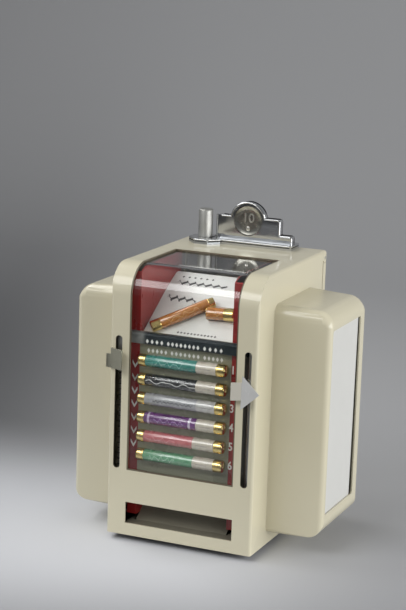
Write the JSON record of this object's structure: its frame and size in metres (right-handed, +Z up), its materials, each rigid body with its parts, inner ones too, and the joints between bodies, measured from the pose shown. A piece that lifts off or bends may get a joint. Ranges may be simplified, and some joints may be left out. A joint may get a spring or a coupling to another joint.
{
  "type": "perfume vending machine",
  "caption": "Counter-top coin vending machine for small scent tubes: enamelled cabinet with a bent window, sliding levers, a delivery opening and a napkin dispenser on each side.",
  "frame": {"origin": "on the counter at the middle of the machine's overall footprint", "axes": "+X to the machine's right side as seen from the front, the front faces -Y, +Z up"},
  "size_m": [0.262, 0.1886, 0.313],
  "materials": {
    "cream_enamel": "gloss stove enamel, warm ivory",
    "red_enamel": "semi-gloss maroon enamel",
    "dark_enamel": "satin dark grey enamel",
    "slate_enamel": "satin slate enamel",
    "steel": "plain zinc-plated steel",
    "spring_steel": "bright drawn wire",
    "lever_steel": "worn satin plating",
    "pointer_plate": "bright plated sheet",
    "polished_chrome": "polished plated casting",
    "clear_pane": "clear bent pane",
    "gasket_rubber": "matte dark brown",
    "foot_rubber": "matte black",
    "brass_cap": "polished brass",
    "napkin_paper": "soft white paper",
    "white_card": "coated white card",
    "tube_teal": "gloss teal wrap",
    "tube_black": "gloss black wrap",
    "tube_silver": "gloss silver-grey wrap",
    "tube_purple": "gloss purple wrap",
    "tube_pink": "gloss pink wrap",
    "tube_green": "gloss green wrap",
    "amber_sample": "gloss orange-tan wrap",
    "stock_wrap": "gloss plain wrap"
  },
  "bodies": {
    "cabinet": {"cabinet_shell": "cream_enamel", "left_wing": "cream_enamel", "right_wing": "cream_enamel", "left_side_plate": "red_enamel", "right_side_plate": "red_enamel", "base_plate": "dark_enamel", "display_panel": "dark_enamel", "rod_brackets": "dark_enamel", "header_bar": "slate_enamel", "hinge_pins": "steel", "door_catch": "steel", "wing_screws": "steel", "head_screws": "steel", "coin_chute": "steel", "cash_box": "steel", "magazine_shelves": "steel", "delivery_tray": "steel", "guide_rods": "steel", "detent_rail": "steel", "return_spring": "spring_steel", "left_follower_spring": "spring_steel", "right_follower_spring": "spring_steel", "coin_head": "polished_chrome", "coin_post": "polished_chrome", "coin_disc": "polished_chrome", "window_pane": "clear_pane", "window_gasket": "gasket_rubber", "feet": "foot_rubber", "tube_caps": "brass_cap", "left_napkins": "napkin_paper", "right_napkins": "napkin_paper", "display_card": "white_card", "tube_1": "tube_teal", "tube_2": "tube_black", "tube_3": "tube_silver", "tube_4": "tube_purple", "tube_5": "tube_pink", "tube_6": "tube_green", "sample_tube": "amber_sample", "sample_cap": "amber_sample", "stock_tubes": "stock_wrap"},
    "operate": {"operate_lever": "lever_steel", "operate_carriage": "steel"},
    "select": {"select_pointer": "pointer_plate", "select_carriage": "steel", "detent_spring": "steel"},
    "rear_door": {"rear_door": "cream_enamel", "lock_barrel": "polished_chrome"},
    "lock": {"lock_plug": "steel", "lock_cam": "steel"},
    "left_follower": {"left_follower": "steel"},
    "right_follower": {"right_follower": "steel"},
    "gate_1": {"gate_1": "steel"},
    "gate_2": {"gate_2": "steel"},
    "gate_3": {"gate_3": "steel"},
    "gate_4": {"gate_4": "steel"},
    "gate_5": {"gate_5": "steel"},
    "gate_6": {"gate_6": "steel"}
  },
  "joints": [
    {"name": "operate_slide", "type": "slide", "parent": "cabinet", "child": "operate", "axis": [0, 0, -1], "range_m": [0, 0.092], "stiffness_N_per_m": 60, "springref_m": -0.02, "deforming": ["return_spring"]},
    {"name": "select_slide", "type": "slide", "parent": "cabinet", "child": "select", "axis": [0, 0, 1], "range_m": [-0.0785, 0.014]},
    {"name": "gate_1_swing", "type": "hinge", "parent": "cabinet", "child": "gate_1", "pos_m": [0, -0.05353, 0.1673], "axis": [1, 0, 0], "range_deg": [0, 75], "stiffness_Nm_per_rad": 0.01, "springref_deg": -22.92},
    {"name": "gate_2_swing", "type": "hinge", "parent": "cabinet", "child": "gate_2", "pos_m": [0, -0.05353, 0.1488], "axis": [1, 0, 0], "range_deg": [0, 75], "stiffness_Nm_per_rad": 0.01, "springref_deg": -22.92},
    {"name": "gate_3_swing", "type": "hinge", "parent": "cabinet", "child": "gate_3", "pos_m": [0, -0.05353, 0.1303], "axis": [1, 0, 0], "range_deg": [0, 75], "stiffness_Nm_per_rad": 0.01, "springref_deg": -22.92},
    {"name": "gate_4_swing", "type": "hinge", "parent": "cabinet", "child": "gate_4", "pos_m": [0, -0.05353, 0.1118], "axis": [1, 0, 0], "range_deg": [0, 75], "stiffness_Nm_per_rad": 0.01, "springref_deg": -22.92},
    {"name": "gate_5_swing", "type": "hinge", "parent": "cabinet", "child": "gate_5", "pos_m": [0, -0.05353, 0.0933], "axis": [1, 0, 0], "range_deg": [0, 75], "stiffness_Nm_per_rad": 0.01, "springref_deg": -22.92},
    {"name": "gate_6_swing", "type": "hinge", "parent": "cabinet", "child": "gate_6", "pos_m": [0, -0.05353, 0.0748], "axis": [1, 0, 0], "range_deg": [0, 75], "stiffness_Nm_per_rad": 0.01, "springref_deg": -22.92},
    {"name": "door_swing", "type": "hinge", "parent": "cabinet", "child": "rear_door", "pos_m": [0, 0.08858, 0.263], "axis": [1, 0, 0], "range_deg": [0, 100]},
    {"name": "lock_turn", "type": "hinge", "parent": "rear_door", "child": "lock", "pos_m": [0.058, 0.09177, 0.046], "axis": [0, 1, 0], "range_deg": [0, 90]},
    {"name": "left_follower_slide", "type": "slide", "parent": "cabinet", "child": "left_follower", "axis": [1, 0, 0], "range_m": [0, 0.012], "stiffness_N_per_m": 120, "springref_m": -0.01, "deforming": ["left_follower_spring"]},
    {"name": "right_follower_slide", "type": "slide", "parent": "cabinet", "child": "right_follower", "axis": [-1, 0, 0], "range_m": [0, 0.012], "stiffness_N_per_m": 120, "springref_m": -0.01, "deforming": ["right_follower_spring"]}
  ]
}
